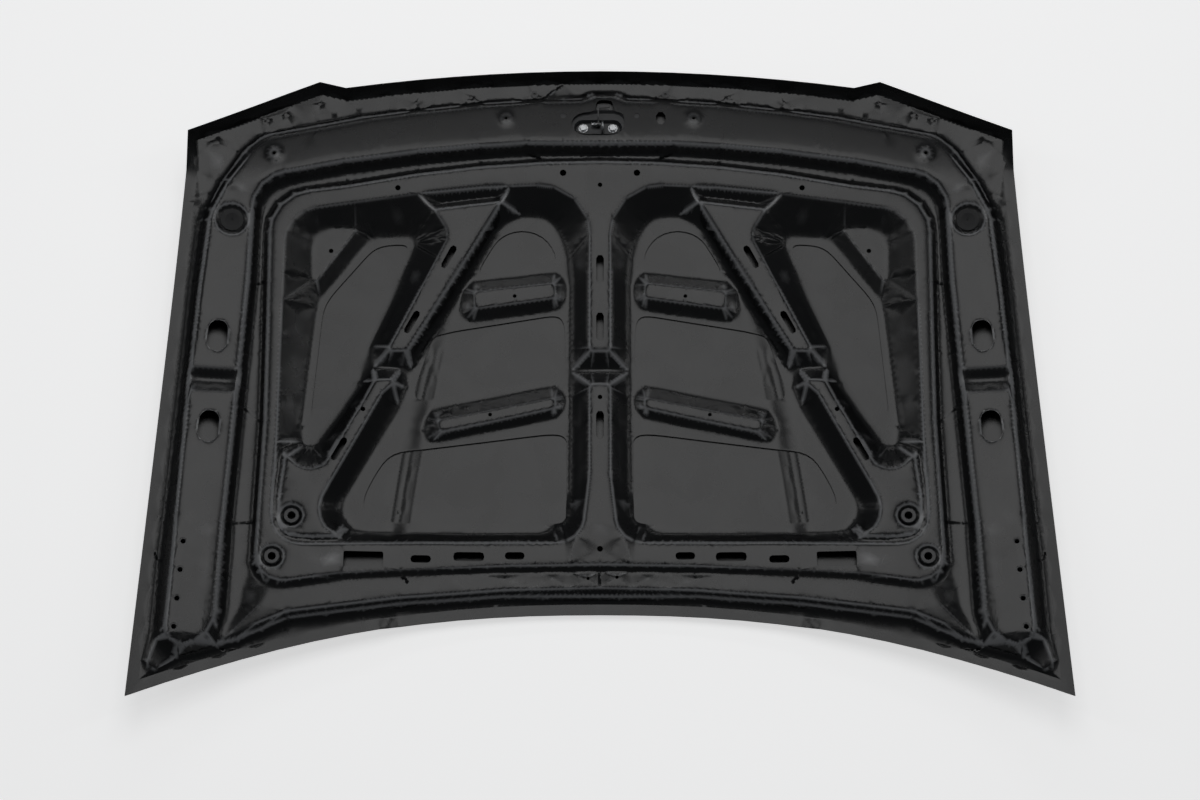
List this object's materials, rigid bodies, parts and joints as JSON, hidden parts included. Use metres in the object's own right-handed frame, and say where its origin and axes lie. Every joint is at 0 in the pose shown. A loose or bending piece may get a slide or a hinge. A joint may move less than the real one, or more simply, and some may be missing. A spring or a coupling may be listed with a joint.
{
  "type": "car_bonnet",
  "caption": "Black e-coated steel car bonnet seen from its underside, with pressed inner panel, windows between ribs, striker, safety catch and hinge fixings",
  "frame": {"origin": "middle of the footprint, on the plane that the bonnet lies on with its outer face down", "axes": "+X is the car's left-right axis and the longest extent, +Y points to the front (latch) edge, +Z points out of the inner panel"},
  "size_m": [1.542, 1.119, 0.111],
  "materials": {
    "e_coat_black": "semi-gloss electro-coat",
    "e_coat_skin": "satin electro-coat",
    "coated_bracket": "satin coated steel",
    "zinc_plate": "zinc plated",
    "plug_rubber": "matte",
    "mastic": "matte"
  },
  "bodies": {
    "bonnet": {"outer_skin": "e_coat_skin", "inner_panel": "e_coat_black", "latch_plate": "coated_bracket", "striker_base": "coated_bracket", "striker_bolt_left": "zinc_plate", "striker_bolt_right": "zinc_plate", "striker_loop": "zinc_plate", "catch_pin": "zinc_plate", "catch_spring": "zinc_plate", "hinge_plate_left": "coated_bracket", "hinge_plate_right": "coated_bracket", "hinge_nut_left_1": "coated_bracket", "hinge_nut_left_2": "coated_bracket", "hinge_nut_left_3": "coated_bracket", "hinge_nut_left_4": "coated_bracket", "hinge_nut_right_1": "coated_bracket", "hinge_nut_right_2": "coated_bracket", "hinge_nut_right_3": "coated_bracket", "hinge_nut_right_4": "coated_bracket", "collar_nut_left_1": "coated_bracket", "collar_nut_left_2": "coated_bracket", "collar_nut_right_1": "coated_bracket", "collar_nut_right_2": "coated_bracket", "plug_left": "plug_rubber", "plug_right": "plug_rubber", "rivet_nut_left": "coated_bracket", "rivet_nut_right": "coated_bracket", "mastic_pad_left_1": "mastic", "mastic_pad_left_2": "mastic", "mastic_pad_left_3": "mastic", "mastic_pad_left_4": "mastic", "mastic_pad_right_1": "mastic", "mastic_pad_right_2": "mastic", "mastic_pad_right_3": "mastic", "mastic_pad_right_4": "mastic"},
    "safety_catch": {"safety_catch": "coated_bracket"}
  },
  "joints": [
    {"name": "safety_catch_pivot", "type": "hinge", "parent": "bonnet", "child": "safety_catch", "pos_m": [0, 0.4665, 0.06701], "axis": [1, 0, 0], "range_deg": [0, 25], "stiffness_Nm_per_rad": 0.02, "springref_deg": -17.19}
  ]
}
